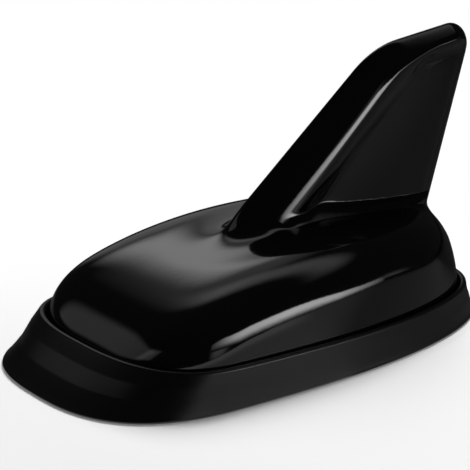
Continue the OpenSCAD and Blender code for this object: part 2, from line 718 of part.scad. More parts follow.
module mast_holder() {
    color("#e3e1da") placed() translate([mast_x0 - 1, -holder_half, board_top]) difference() {
        cube([mast_x1 - mast_x0 + 2, 2 * holder_half, holder_h]);
        translate([1 - grip, holder_half - mast_t / 2 - grip, holder_floor])
            cube([mast_x1 - mast_x0 + 2 * grip, mast_t + 2 * grip, holder_h]);
    }
}
track_t = 0.12;
track_low = mast_low + holder_h + 1;
foam_h = 4;
foam_l = 14;
foam_z = slot_rear_z + mast_rise - foam_h - 1;
runs = 2 * floor((foam_z - 2 - track_low) / track_pitch / 2);
track_x1 = mast_x1 - 1;
function run_z(i) = track_low + i * track_pitch;
function run_x(i) = mast_front(run_z(2 * ceil(i / 2))) + 1;
module mast_track() {
    color("#b87a3c") placed() upright(track_t, -(mast_t + track_t) / 2) {
        for (i = [0:runs])
            translate([run_x(i), run_z(i)]) square([track_x1 - run_x(i), track_w]);
        for (i = [1:2:runs - 1])
            translate([run_x(i), run_z(i)]) square([track_w, track_pitch + track_w]);
        for (i = [0:2:runs - 1])
            translate([track_x1 - track_w, run_z(i)]) square([track_w, track_pitch + track_w]);
    }
}
module mast_foam() {
    t = slot_half - mast_t / 2 - 0.2;
    x = mast_front(foam_z + foam_h) + 4;
    color("#303133") placed() for (side = [-1, 1])
        upright(t, side * (mast_t + t) / 2) translate([x, foam_z]) square([foam_l, foam_h]);
}

cover();
skirt();
base_plate();
adhesive_pad();
cover_screws();
lead_grommet();
main_board();
board_screws();
patch_tape();
patch_ceramic();
patch_electrode();
patch_pin();
shield_can();
amplifier_chip();
chip_parts();
lead_sockets();
coil_former();
coil_winding();
mast_holder();
mast_board();
mast_track();
mast_foam();
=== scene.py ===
"""Looks of a shark fin aerial: a gloss cover with a recessed fin in a soft skirt."""

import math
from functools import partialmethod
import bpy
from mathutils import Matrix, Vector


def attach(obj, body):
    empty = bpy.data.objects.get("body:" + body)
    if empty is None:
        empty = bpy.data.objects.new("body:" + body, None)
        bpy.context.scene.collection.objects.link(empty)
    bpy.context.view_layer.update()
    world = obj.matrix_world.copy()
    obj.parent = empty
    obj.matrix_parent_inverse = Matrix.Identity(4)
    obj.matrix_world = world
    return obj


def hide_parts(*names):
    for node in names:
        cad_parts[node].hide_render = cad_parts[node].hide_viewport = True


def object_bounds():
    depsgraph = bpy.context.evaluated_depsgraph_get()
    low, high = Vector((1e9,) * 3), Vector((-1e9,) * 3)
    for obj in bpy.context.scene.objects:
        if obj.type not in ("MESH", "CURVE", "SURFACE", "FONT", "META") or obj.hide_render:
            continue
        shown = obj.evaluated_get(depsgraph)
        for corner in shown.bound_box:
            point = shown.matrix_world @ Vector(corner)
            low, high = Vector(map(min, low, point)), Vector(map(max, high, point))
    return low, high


bl_info = {
    "name": "Shark Fin Aerial",
    "version": (1, 0, 0),
    "blender": (4, 5, 0),
    "location": "View3D > Sidebar > Aerial",
    "description": "Cover, skirt and finishes of a roof aerial, built round its solid model",
    "category": "Add Mesh",
}

from types import SimpleNamespace

import bpy
import numpy as np
from bpy.props import FloatProperty, FloatVectorProperty, PointerProperty
from mathutils import Matrix, Vector

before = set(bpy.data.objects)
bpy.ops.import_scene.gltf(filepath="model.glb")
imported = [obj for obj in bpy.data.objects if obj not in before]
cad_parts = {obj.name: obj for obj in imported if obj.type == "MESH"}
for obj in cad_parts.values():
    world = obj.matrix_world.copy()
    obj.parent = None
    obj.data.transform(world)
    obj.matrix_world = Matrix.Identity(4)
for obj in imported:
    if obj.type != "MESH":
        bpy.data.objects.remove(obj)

CAD_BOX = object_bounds()
MM = 0.001
SKIRT_LENGTH = 137
# The middle of the skirt's length in the frame, in millimetres
FRAME_SHIFT = CAD_BOX[0][0] / MM + SKIRT_LENGTH / 2
WHITE = (1, 1, 1, 1)
# From the near half to the far half
MIRROR = (1, -1, 1)
# Least values of what is divided by
TINY, SLIVER = 1e-9, 0.001


def length(name, millimetres, text=""):
    return FloatProperty(name=name, description=text, default=millimetres * MM, unit="LENGTH")


def angle(name, degrees, text=""):
    return FloatProperty(name=name, description=text, default=math.radians(degrees),
                         subtype="ANGLE")


def number(name, value, text=""):
    return FloatProperty(name=name, description=text, default=value)


def colour(name, value):
    return FloatVectorProperty(name=name, default=value, subtype="COLOR")


class SkirtSizes(bpy.types.PropertyGroup):
    """Sizes of the soft skirt and of the plan that the cover shares with it"""
    length: length("Length", SKIRT_LENGTH, "Length on the roof")
    width: length("Width", 75.4)
    widest: length("Widest station", -29.5)
    nose_fullness: number("Nose fullness", 2.7, "Roundness in plan, 2 is an ellipse")
    tail_fullness: number("Tail fullness", 2.45)
    lip_height: length("Lip height", 10.2, "Height of the lip at mid length")
    lip_rise: length("Lip rise at the nose", 1.1)
    flare_nose: length("Flare at the nose", 12.6, "Spread at the nose")
    flare_side: length("Flare at the sides", 1.2)
    flare_tail: length("Flare at the tail", 3.4)
    bow_nose: number("Bow at the nose", 0.85, "Bow of the flare, 1 is straight")
    bow_tail: number("Bow at the tail", 0.5)
    lip: length("Lip width", 1.6)
    base: length("Base height", 3, "Height above the roof")
    flange: length("Flange", 1.2, "Thickness under the cover")
    gap: length("Groove between lip and cover", 0.5)
    wall: length("Cover wall", 2.2)
    plate_in: length("Seat", 0.5, "Inset of the base plate's edge")
    seat_gap: length("Seat gap", 0.2, "Clearance round the base plate")
    flange_in: length("Flange reach", 1.6)


class DomeSizes(bpy.types.PropertyGroup):
    """Sizes of the cover's dome"""
    height: length("Dome height", 31.8, "Height above the roof")
    peak: length("Peak station", 18.5)
    fall: length("Crest fall", 2.8, "Fall of the crest from there on")
    nose_curve: number("Nose curve", 2.1)
    tail_curve: number("Tail curve", 5.5)
    front_fullness: number("Front fullness", 6.8, "Fullness across, ahead of the fin")
    front_draft: number("Front draft", 3.2, "Fullness in height, ahead of the fin")
    rear_fullness: number("Fullness at the tail", 1.7)
    ease: length("Ease station", 14.5, "Where sections start to get rounder")


class FinSizes(bpy.types.PropertyGroup):
    """Sizes of the cover's fin and its recessed sides"""
    le_x: length("Leading edge", -10.8, "Station at the dome's top")
    le_angle: angle("Slope of the leading edge", 40.6)
    te_x: length("Trailing edge", 59.4)
    te_lean: angle("Lean", 17.1, "Lean of the trailing edge")
    height: length("Fin height", 78.5, "Height at the trailing edge")
    top_slope: angle("Top slope", 7.3)
    bend_r: length("Bend radius", 27.7, "Radius between leading edge and top")
    tip_r: length("Tip radius", 6.2)
    ridge_low: length("Ridge, foot", 8.8, "Half thickness at the foot")
    ridge_high: length("Ridge, top", 4.4)
    panel_low: length("Panel, foot", 4.2, "Half thickness at the foot")
    panel_high: length("Panel, top", 2.1)
    border_front: length("Front border", 9, "Depth along the leading edge")
    border_top: length("Top border", 3.7)
    slope_front: length("Front run", 6, "Run of the recess's front wall")
    slope_top: length("Top run", 3.5, "Run of the recess's top wall")
    slope_foot: length("Foot run", 1.4, "Run of the recess's shelf")
    corner_r: length("Recess corner", 6.5, "Radius of the recess's upper front corner")
    shelf_front: length("Front of the shelf", 3.2, "Run of the shelf at the front wall")
    hollow: number("Hollow", 1.05, "Bow of the recess's walls, 1 is straight")
    round_low: length("Ridge rounding, foot", 4.4, "Width of the rounding at the foot")
    round_high: length("Ridge rounding, top", 2.2)
    shelf_rise: length("Shelf rise", 1.3, "Height of the shelf's front over the dome")
    shelf_slope: angle("Shelf slope", 2.2)
    edge_low: length("Leading radius, foot", 2.6, "Radius at the foot")
    edge_high: length("Leading radius, top", 0.8)
    edge_rear: length("Rear radius", 1.3, "Radius of the top and trailing edges")
    taper: number("Taper", 0.45, "Narrowing towards the trailing edge")
    foot_r: length("Reach of the foot's fillet", 4.5)
    foot_lift: length("Foot lift", 3.6, "Rise of the fillet at the leading edge")


class Finishes(bpy.types.PropertyGroup):
    """Colours of the finishes"""
    gloss: colour("Gloss black of the cover", (0.0013, 0.0013, 0.0014))
    soft: colour("Soft black of the skirt", (0.0022, 0.0022, 0.0024))
    base: colour("Base plate", (0.035, 0.036, 0.038))
    foam: colour("Foam tape", (0.075, 0.076, 0.078))
    paper: colour("Floor", (0.9, 0.9, 0.9))


def in_mm(group):
    """All values of a property group as plain numbers, lengths in millimetres."""
    values = {}
    for key, prop in group.bl_rna.properties.items():
        if prop.type == "FLOAT" and not prop.is_array:
            value = getattr(group, key)
            values[key] = value / MM if prop.unit == "LENGTH" else value
    return SimpleNamespace(**values)


class Wire:
    """A node's output that can be used in a Python expression."""

    def __init__(self, net, socket):
        self.net = net
        self.socket = socket

    def math(self, operation, *others):
        return self.net.math(operation, self, *others)

    def math_after(self, operation, other):
        return self.net.math(operation, other, self)

    __add__, __radd__ = partialmethod(math, "ADD"), partialmethod(math_after, "ADD")
    __sub__, __rsub__ = partialmethod(math, "SUBTRACT"), partialmethod(math_after, "SUBTRACT")
    __mul__, __rmul__ = partialmethod(math, "MULTIPLY"), partialmethod(math_after, "MULTIPLY")
    __truediv__, __rtruediv__ = partialmethod(math, "DIVIDE"), partialmethod(math_after, "DIVIDE")
    __pow__ = partialmethod(math, "POWER")


class Net:
    """Adds nodes to a shader or geometry tree and joins them."""

    def __init__(self, tree):
        self.tree = tree

    def node(self, kind, inputs=None, settings=None):
        """A new node: its settings are set first, then each input by name or place."""
        node = self.tree.nodes.new(kind)
        for key, value in (settings or {}).items():
            setattr(node, key, value)
        for key, value in (inputs or {}).items():
            if isinstance(value, Wire):
                self.tree.links.new(value.socket, node.inputs[key])
            else:
                node.inputs[key].default_value = value
        return node

    def get(self, kind, inputs=None, settings=None, output=0):
        """The same, as a value for an expression."""
        return Wire(self, self.node(kind, inputs, settings).outputs[output])

    def math(self, operation, *values):
        return self.get("ShaderNodeMath", dict(enumerate(values)), {"operation": operation})

    def mix(self, factor, low, high):
        """Blend of two colours."""
        inputs = {0: factor, 6: low, 7: high}
        return self.get("ShaderNodeMix", inputs, {"data_type": "RGBA"}, output=2)

    def noise(self, where, scale, detail=2.0, roughness=0.5):
        inputs = {"Vector": where, "Scale": scale, "Detail": detail, "Roughness": roughness}
        return self.get("ShaderNodeTexNoise", inputs)

    def dot(self, vector, axis):
        return self.get("ShaderNodeVectorMath", {0: vector, 1: axis},
                        {"operation": "DOT_PRODUCT"}, output="Value")

    def ease_step(self, value, low, high):
        """0 below low and 1 above high, eased between; low may lie above high."""
        inputs = {0: value, 1: low, 2: high, 3: 0.0, 4: 1.0}
        return self.get("ShaderNodeMapRange", inputs, {"interpolation_type": "SMOOTHSTEP"})

    def parts(self, vector):
        """The three coordinates of a vector."""
        split = self.node("ShaderNodeSeparateXYZ", {0: vector})
        return [Wire(self, output) for output in split.outputs]

    def rays(self, *kinds):
        """1 for a ray of any of these kinds."""
        path = self.node("ShaderNodeLightPath")
        first, *others = [Wire(self, path.outputs[f"Is {kind} Ray"]) for kind in kinds]
        return sum(others, first)

    def principled(self, tone, rough, bump, others=None):
        inputs = {"Base Color": tone, "Roughness": rough, "Normal": bump}
        return self.get("ShaderNodeBsdfPrincipled", {**inputs, **(others or {})})

    def light(self, level):
        return self.get("ShaderNodeEmission", {"Color": WHITE, "Strength": level})

    def blend(self, factor, low, high):
        """Blend of two shaders."""
        return self.get("ShaderNodeMixShader", {0: factor, 1: low, 2: high})


def opaque(rgb):
    return (*rgb, 1)


def lighter(rgb, factor):
    return opaque([min(1, c * factor) for c in rgb])


def toned(net, factor, rgb, low, high):
    """A colour between low and high times rgb."""
    return net.mix(factor, lighter(rgb, low), lighter(rgb, high))


def clean_net(owner):
    """The emptied node tree of a material or a world."""
    owner.use_nodes = True
    owner.node_tree.nodes.clear()
    return Net(owner.node_tree)


def surface(name, build):
    """A material whose shader build(net, where) makes; where is the place on the object."""
    material = bpy.data.materials.new(name)
    net = clean_net(material)
    where = net.get("ShaderNodeTexCoord", output="Object")
    shader = build(net, where)
    net.node("ShaderNodeOutputMaterial", {"Surface": shader})
    return material


def bumped(net, height, strength, distance):
    inputs = {"Height": height, "Strength": strength, "Distance": distance}
    return net.get("ShaderNodeBump", inputs)


def gloss_black(rgb):
    """Piano black moulding: faint waviness under a hard gloss."""
    def build(net, where):
        wave = net.noise(where, scale=45, detail=1)
        peel = net.noise(where, scale=700)
        tone = toned(net, wave, rgb, 0.8, 1.25)
        shine = 0.045 + 0.03 * net.noise(where, scale=120, detail=3)
        bump = bumped(net, wave * 0.9 + peel * 0.1, strength=0.12, distance=0.0006)
        return net.principled(tone, shine, bump, {
            "IOR": 1.5, "Coat Weight": 0.35, "Coat Roughness": 0.03})
    return surface("gloss_black", build)


def soft_black(rgb):
    """Soft moulded skirt: fine grain, patchy sheen."""
    def build(net, where):
        grain = net.noise(where, scale=2600, detail=3, roughness=0.6)
        patch = net.noise(where, scale=60, detail=3)
        tone = toned(net, patch, rgb, 0.75, 1.3)
        rough = 0.24 + 0.06 * patch + 0.05 * grain
        bump = bumped(net, grain, strength=0.25, distance=0.00008)
        return net.principled(tone, rough, bump, {"IOR": 1.55})
    return surface("soft_black", build)


def grained(name, rgb, rough=0.5, scale=1800, depth=0.0001, metal=0.0, spread=0.25):
    """A moulded, fired or plated finish: fine grain and a little unevenness."""
    def build(net, where):
        grain = net.noise(where, scale, detail=3, roughness=0.6)
        patch = net.noise(where, scale / 18)
        tone = toned(net, patch, rgb, 1 - spread, 1 + spread)
        bump = bumped(net, grain, strength=0.3, distance=depth)
        return net.principled(tone, rough + 0.12 * grain, bump, {"Metallic": metal})
    return surface(name, build)


def plated(name, rgb, rough, scale=900, depth=0.00004, spread=0.08):
    """The same on metal."""
    return grained(name, rgb, rough, scale, depth, 1.0, spread)


def foam(rgb):
    """Closed-cell foam tape."""
    def build(net, where):
        cells = net.get("ShaderNodeTexVoronoi", {"Vector": where, "Scale": 2400.0})
        patch = net.noise(where, scale=90)
        tone = toned(net, cells, rgb, 0.55, 1.15)
        tone = net.mix(patch * 0.3, tone, lighter(rgb, 0.8))
        bump = bumped(net, cells, strength=0.5, distance=0.0002)
        return net.principled(tone, 0.82 + 0.1 * patch, bump)
    return surface("foam_tape", build)


def lerp(a, b, t):
    return a + (b - a) * t


def clamp01(t):
    return np.clip(t, 0, 1)


def smooth(t):
    c = clamp01(t)
    return c * c * (3 - 2 * c)


def power(v, e):
    return np.sign(v) * np.abs(v) ** e


def soft_min(a, b, r):
    """Smooth minimum of two lengths, rounded over the width r."""
    h = clamp01(0.5 + (b - a) / (2 * r))
    return lerp(b, a, h) - r * h * (1 - h)


def edge_line(x, z, across, up):
    """An edge of the fin: a point of it, and the normal that points inwards."""
    return SimpleNamespace(p=np.array([x, z]), n=np.array([across, up]))


class CoverForm:
    """The cover's outer and inner skin as rings of points, in millimetres."""
    # Steps of half a ring, those where the ridge ends and the panel begins, and the most of
    # its length that the steps up to either take
    half, ridge_at, panel_at = 128, 36, 56
    ridge_most, panel_most = 0.6, 0.8
    # Rings of each part, from the rim to the fin's top, and of the hollow
    dome_rings, fillet_rings, shelf_rings = 44, 14, 14
    panel_rings, slope_rings, edge_rings = 26, 12, 12
    inner_rings, slot_rings = 12, 3
    # How rings crowd up the dome and at the fin's top, and the top border's last share
    dome_crowd, edge_crowd, last_share = 0.62, 2.2, 0.0006
    # The hollow for the mast inside the fin
    slot = SimpleNamespace(half=1.5, front=12, rear=5, top=24, squareness=8)
    # Steepness of the section at the leading, top and trailing edge
    steepness = (0.3, 0.5, 0.8)
    # Rounding of edge into flank, least rounding of the ridge, run of the shelf's easing
    flank_round, least_round, shelf_ease = 1.2, 0.01, 30
    # The foot's lift: steps past the ridge that it reaches, height over which it fades
    lift_past, lift_fade = 4, 16
    # Where the foot lies between crest and shelf, and the rounds that find its ends
    foot_share, foot_rounds = 0.6, 8
    # Evening out: passes and their step; rings of setting in and fading; last ring over the
    # foot at the leading edge and behind; place and length of the change between the two
    even = SimpleNamespace(passes=24, step=0.8, set_in=6, fade=9, leading=9, behind=-1,
                           change=-14, change_over=20)
    # More of it at the recess's lower corner: steps from the panel's start, rings above the
    # foot, reach, level from which it fades, weight
    corner = SimpleNamespace(along=-6, above=8, reach=12, level=1.6, weight=0.35)

    def __init__(self, skirt, dome, fin):
        self.skirt, self.dome, self.fin = skirt, dome, fin
        reach = skirt.lip + skirt.gap
        self.rim = np.array([skirt.flare_nose, skirt.flare_side, skirt.flare_tail]) + reach
        self.rim_z = skirt.base + skirt.flange
        self.front = edge_line(fin.le_x, dome.height,
                               math.sin(fin.le_angle), -math.cos(fin.le_angle))
        end = fin.te_x + (fin.height - dome.height) * math.tan(fin.te_lean)
        self.top = edge_line(end, fin.height, math.sin(fin.top_slope), -math.cos(fin.top_slope))
        self.rear = edge_line(fin.te_x, dome.height,
                              -math.cos(fin.te_lean), math.sin(fin.te_lean))
        self.bend = self.meet(self.front, self.top, fin.bend_r)
        self.tip = self.meet(self.rear, self.top, fin.tip_r)
        tan = math.tan(fin.shelf_slope)
        self.shelf = np.array([dome.height + fin.shelf_rise + fin.le_x * tan, -tan])

    @staticmethod
    def meet(a, b, r):
        """Centre of the round corner between two edges."""
        return np.linalg.solve(np.array([a.n, b.n]), np.array([a.n @ a.p + r, b.n @ b.p + r]))

    def plan(self, a, inset):
        """Plan outline at the angles a, drawn in by [nose, side, tail]."""
        s = self.skirt
        c, d = np.cos(a), np.sin(a)
        front = c < 0
        n = np.where(front, s.nose_fullness, s.tail_fullness)
        nose, tail = s.widest + s.length / 2 - inset[0], s.length / 2 - s.widest - inset[2]
        reach = np.where(front, nose, tail)
        return s.widest + power(c, 2 / n) * reach, power(d, 2 / n) * (s.width / 2 - inset[1])

    def dome_half(self, x, t):
        """Half width of the dome at its rim; t is the depth below the outer skin."""
        s = self.skirt
        front = x < s.widest
        n = np.where(front, s.nose_fullness, s.tail_fullness)
        nose = s.widest + s.length / 2 - self.rim[0] - t
        tail = s.length / 2 - self.rim[2] - t - s.widest
        u = np.abs(x - s.widest) / np.where(front, nose, tail)
        return (s.width / 2 - self.rim[1] - t) * np.maximum(0, 1 - u ** n) ** (1 / n)

    def crest(self, x, t):
        """Height of the dome's middle line over the rim."""
        s, d = self.skirt, self.dome
        nose = -s.length / 2 + self.rim[0] + t
        tail = s.length / 2 - self.rim[2] - t
        front = x < d.peak
        u = np.where(front, (d.peak - x) / (d.peak - nose), (x - d.peak) / (tail - d.peak))
        n = np.where(front, d.nose_curve, d.tail_curve)
        fall = np.where(front, 0, d.fall * u)
        rise = d.height - self.rim_z - t
        return (rise - fall) * np.maximum(0, 1 - np.maximum(u, 0) ** n) ** (1 / n)

    def dome_z(self, x, y, t):
        d = self.dome
        ease = smooth((x - d.ease) / (self.skirt.length / 2 - d.ease))
        n = lerp(d.front_fullness, d.rear_fullness, ease)
        m = lerp(d.front_draft, d.rear_fullness, ease)
        v = np.minimum(1, np.abs(y) / np.maximum(self.dome_half(x, t), TINY))
        return self.rim_z + self.crest(x, t) * np.maximum(0, 1 - v ** n) ** (1 / m)

    def depths(self, q):
        """Depths of points inside the leading, top and trailing edge."""
        return [(q - edge.p) @ edge.n for edge in (self.front, self.top, self.rear)]

    def fin_depth(self, q):
        """Depth inside the rounded outline of the fin."""
        f = self.fin
        front, top, rear = self.depths(q)
        depth = np.minimum(np.minimum(front, top), rear)
        for centre, r, n1, n2, other in ((self.bend, f.bend_r, self.front.n, self.top.n, rear),
                                         (self.tip, f.tip_r, self.top.n, self.rear.n, front)):
            v = q - centre
            turned = -v[..., 0] * n1[1] + v[..., 1] * n1[0]
            back = -n2[0] * v[..., 1] + n2[1] * v[..., 0]
            inside = (turned >= 0) & (back >= 0)
            arc = np.minimum(r - np.linalg.norm(v, axis=-1), other)
            depth = np.where(inside, arc, depth)
        return depth

    def fin_half(self, x, z):
        """Half thickness of the fin at a point of its middle plane."""
        f, d = self.fin, self.dome
        h = clamp01((z - d.height) / (f.height - d.height))
        q = np.stack([x, z], -1)
        front, top, rear = [np.maximum(0, depth) for depth in self.depths(q)]
        depth = np.maximum(0, self.fin_depth(q))
        ridge = lerp(f.ridge_low, f.ridge_high, h)
        panel = lerp(f.panel_low, f.panel_high, h)
        near = [(v + 1.0) ** -2 for v in (front, top, rear)]
        total = sum(near)
        radius = lerp(f.edge_low, f.edge_high, h)
        r = (near[0] * radius + (near[1] + near[2]) * f.edge_rear) / total
        k = sum(share * steep for share, steep in zip(near, self.steepness)) / total
        edge = np.sqrt(k * k * depth * depth + 2 * r * depth)
        chord = front / (front + rear + SLIVER)
        side = ridge * (1 - f.taper * chord * chord)
        flank = soft_min(edge, side, self.flank_round)
        shelf = self.shelf[0] + self.shelf[1] * x
        run = lerp(f.shelf_front, f.slope_foot,
                   smooth((front - f.border_front) / self.shelf_ease))
        short = [np.maximum(0, f.corner_r + border - inside)
                 for border, inside in ((f.border_front, front), (f.border_top, top))]
        reach = np.hypot(*short)
        slope = lerp(f.slope_top, f.slope_front, short[0] ** 2 / (reach ** 2 + TINY))
        climbs = (1 - (f.corner_r - reach) / slope, (shelf + run - z) / run)
        wall = sum(np.maximum(0, climb) ** 2 for climb in climbs) ** (f.hollow / 2)
        recess = panel + (ridge - panel) * wall
        rounding = np.minimum(lerp(f.round_low, f.round_high, h), depth)
        rounding = np.maximum(self.least_round, rounding)
        return np.where(depth <= 0, 0, soft_min(flank, recess, rounding))

    def levels(self):
        """Lines z = a + b x that the fin's rings lie on, from the shelf to the top."""
        f = self.fin
        shelf = self.shelf
        up = np.array([1, 0])
        slope = math.tan(f.top_slope)

        def below(d):
            return np.array([f.height - d / math.cos(f.top_slope) - self.top.p[0] * slope, slope])
        high = below(f.border_top + f.slope_top)
        low = shelf + up * f.shelf_front
        rows = [shelf + up * f.shelf_front * i / self.shelf_rings
                for i in range(self.shelf_rings + 1)]
        rows += [lerp(low, high, i / self.panel_rings) for i in range(1, self.panel_rings + 1)]
        rows += [below(f.border_top + f.slope_top * i / self.slope_rings)
                 for i in range(self.slope_rings - 1, -1, -1)]
        for i in range(1, self.edge_rings + 1):
            share = max(self.last_share, (1 - i / self.edge_rings) ** self.edge_crowd)
            rows.append(below(f.border_top * share))
        return rows

    @staticmethod
    def station(edge, d, level):
        """Station at which a level lies at the depth d inside an edge."""
        n = edge.n
        return (d + n @ edge.p - n[1] * level[0]) / (n[0] + n[1] * level[1])

    def end(self, edge, centre, r, level, side):
        """Station at which a level leaves the outline, on an edge or a round corner."""
        n = edge.n
        x = self.station(edge, 0, level)
        v = np.array([x, level[0] + level[1] * x]) - centre
        past = v[1] * n[0] - v[0] * n[1] if side < 0 else v[0] * n[1] - v[1] * n[0]
        if past < 0:
            return x
        a = 1 + level[1] ** 2
        b = level[1] * (level[0] - centre[1]) - centre[0]
        k = centre @ centre + level[0] * (level[0] - 2 * centre[1]) - r * r
        return (-b + side * math.sqrt(max(0, b * b - a * k))) / a

    def stations(self, level, a, b):
        """Stations along a level, close together round both edges."""
        f = self.fin
        r, g = [min(self.station(self.front, depth, level), lerp(a, b, most))
                for depth, most in ((f.border_front, self.ridge_most),
                                    (f.border_front + f.slope_front, self.panel_most))]
        j = np.arange(self.half + 1)
        first = lerp(a, r, 1 - np.cos(math.pi / 2 * j / self.ridge_at))
        second = lerp(r, g, (j - self.ridge_at) / (self.panel_at - self.ridge_at))
        third = lerp(g, b, np.sin(math.pi / 2 * (j - self.panel_at) / (self.half - self.panel_at)))
        return np.where(j <= self.ridge_at, first, np.where(j <= self.panel_at, second, third))

    def near_side(self, x, z):
        """The near half of a ring, with the foot's lift towards the leading edge."""
        f = self.fin
        j = np.arange(self.half + 1)
        above = np.maximum(0, z - self.shelf[0] - self.shelf[1] * x)
        lift = f.foot_lift * smooth((self.ridge_at + self.lift_past - j) / self.ridge_at)
        lift = lift * clamp01(1 - above / self.lift_fade) ** 2
        x, z = x + lift / math.tan(f.le_angle), z + lift
        y = -self.fin_half(x, z)
        y[0] = y[-1] = 0
        return np.stack([x, y, z], -1)

    def fin_ring(self, level):
        f = self.fin
        a = self.end(self.front, self.bend, f.bend_r, level, -1)
        b = self.end(self.rear, self.tip, f.tip_r, level, 1)
        x = self.stations(level, a, b)
        return self.near_side(x, level[0] + level[1] * x)

    def foot_z(self, x):
        shelf = self.shelf[0] + self.shelf[1] * x
        return lerp(self.rim_z + self.crest(x, 0), shelf, self.foot_share)

    def foot_ring(self):
        f, d = self.fin, self.dome
        a, b = f.le_x, f.te_x
        for _ in range(self.foot_rounds):
            a = f.le_x + (float(self.foot_z(np.array(a))) - d.height) / math.tan(f.le_angle)
            b = f.te_x + (float(self.foot_z(np.array(b))) - d.height) * math.tan(f.te_lean)
        x = self.stations(np.array([d.height, 0]), a, b)
        return self.near_side(x, self.foot_z(x))

    def fillet_edge(self, foot):
        """The foot's outline moved outwards by the fillet's reach."""
        t = np.zeros((self.half + 1, 2))
        t[1:-1] = foot[2:, :2] - foot[:-2, :2]
        out = np.stack([t[:, 1], -t[:, 0]], -1)
        out[1:-1] /= np.linalg.norm(out[1:-1], axis=1)[:, None]
        out[0], out[-1] = (-1, 0), (1, 0)
        edge = foot[:, :2] + self.fin.foot_r * out
        edge[0, 1] = edge[-1, 1] = 0
        return edge

    def rim_points(self, t):
        a = math.pi + math.pi * np.arange(self.half + 1) / self.half
        x, y = self.plan(a, self.rim + t)
        y[0] = y[-1] = 0
        return np.stack([x, y], -1)

    def lift(self, plan, t):
        return np.column_stack([plan, self.dome_z(plan[:, 0], plan[:, 1], t)])

    def skin(self, edge, count, t):
        """Rings of the dome at the depth t, from its rim up to an edge round the fin."""
        rim = self.rim_points(t)
        shares = [math.cos(math.pi / 2 * i / count) ** self.dome_crowd for i in range(count)]
        rings = [self.lift(lerp(edge, rim, share), t) for share in shares]
        rings[0][:, 2] = self.rim_z
        return rings

    def outer(self):
        """Rim to fin: dome, a fillet that leaves the dome and meets the fin smoothly, fin."""
        foot = self.foot_ring()
        edge = self.fillet_edge(foot)
        rings = self.skin(edge, self.dome_rings, 0)
        fin = [self.fin_ring(level) for level in self.levels()]
        low = self.lift(edge, 0)
        reach = np.linalg.norm(foot - low, axis=1)[:, None]

        def heading(start, end):
            step = end - start
            return reach * step / np.maximum(1e-6, np.linalg.norm(step, axis=1))[:, None]
        leave, arrive = heading(rings[-1], low), heading(foot, fin[0])
        for i in range(self.fillet_rings):
            t = i / self.fillet_rings
            rings.append(low * (1 + 2 * t) * (1 - t) ** 2 + leave * t * (1 - t) ** 2
                         + foot * t * t * (3 - 2 * t) - arrive * t * t * (1 - t))
        return self.blended(rings + [foot] + fin)

    def blended(self, rings):
        """Evens out the rings round the fin's foot, so that the dome flows into the fin."""
        grid = np.array(rings)
        even, corner = self.even, self.corner
        foot = self.dome_rings + self.fillet_rings
        r, j = np.arange(len(grid))[:, None], np.arange(self.half + 1)[None]
        change = smooth((j - self.ridge_at - even.change) / even.change_over)
        top = lerp(foot + even.leading, foot + even.behind, change)
        weight = smooth((r - self.dome_rings + even.set_in) / even.set_in)
        weight = weight * smooth((top - r) / even.fade)
        along = smooth(corner.level - np.abs(j - self.panel_at - corner.along) / corner.reach)
        above = smooth(corner.level - np.abs(r - foot - corner.above) / corner.reach)
        weight = np.maximum(weight, corner.weight * (along * above))[:, :, None]
        for _ in range(even.passes):
            wide = np.concatenate([grid[:, 1:2] * MIRROR, grid, grid[:, -2:-1] * MIRROR], axis=1)
            mean = (wide[:-2, 1:-1] + wide[2:, 1:-1] + wide[1:-1, :-2] + wide[1:-1, 2:]) / 4
            grid[1:-1] += even.step * weight[1:-1] * (mean - grid[1:-1])
            grid[:, (0, -1), 1] = 0
        return list(grid)

    def slot_ring(self, rise):
        """Ring of the slot, at a height over the dome's inner skin."""
        f, s = self.fin, self.slot
        front, rear = f.le_x + s.front, f.te_x - s.rear
        u = (1 - np.cos(math.pi * np.arange(self.half + 1) / self.half)) / 2
        x = lerp(front + rise / math.tan(f.le_angle), rear + rise * math.tan(f.te_lean), u)
        y = -s.half * (1 - np.abs(2 * u - 1) ** s.squareness) ** 0.5
        y[0] = y[-1] = 0
        z = self.dome_z(lerp(front, rear, u), y, self.skirt.wall) + rise
        return np.stack([x, y, z], -1)

    def inner(self):
        rings = self.skin(self.slot_ring(0)[:, :2], self.inner_rings, self.skirt.wall)
        return rings + [self.slot_ring(self.slot.top * i / self.slot_rings)
                        for i in range(self.slot_rings + 1)]


def whole(ring):
    """The closed ring of a near half that runs from nose to tail."""
    far = ring[-2:0:-1] * MIRROR
    return np.vstack([ring, far])


def add_object(name, data):
    added = bpy.data.objects.new(name, data)
    bpy.context.scene.collection.objects.link(added)
    return added


def cap(start, sides, flip):
    """Faces that close the last ring of a stack."""
    faces = []
    half = sides // 2
    for j in range(1, half - 1):
        faces.append([j, j + 1, sides - j - 1, sides - j])
    faces += [[0, 1, sides - 1], [half, half + 1, half - 1]]
    return [[start + k for k in (face[::-1] if flip else face)] for face in faces]


def skin_faces(first, rings, sides, flip):
    """Faces between the rings of a stack, from the ring first upwards."""
    faces = []
    for r in range(first * sides, (first + rings - 1) * sides, sides):
        for j in range(sides):
            a, b = r + j, r + (j + 1) % sides
            face = [a, b, b + sides, a + sides]
            faces.append(face[::-1] if flip else face)
    return faces


# Angles over which an edge stays sharp, in radians
SHARP, SKIRT_SHARP = 0.9, 0.7


def mesh_piece(name, points, faces, material):
    """A piece from points in metres."""
    mesh = bpy.data.meshes.new(name)
    mesh.from_pydata([tuple(p) for p in points], [], faces)
    mesh.validate()
    mesh.shade_smooth()
    mesh.set_sharp_from_angle(angle=SHARP)
    mesh.materials.append(material)
    return add_object(name, mesh)


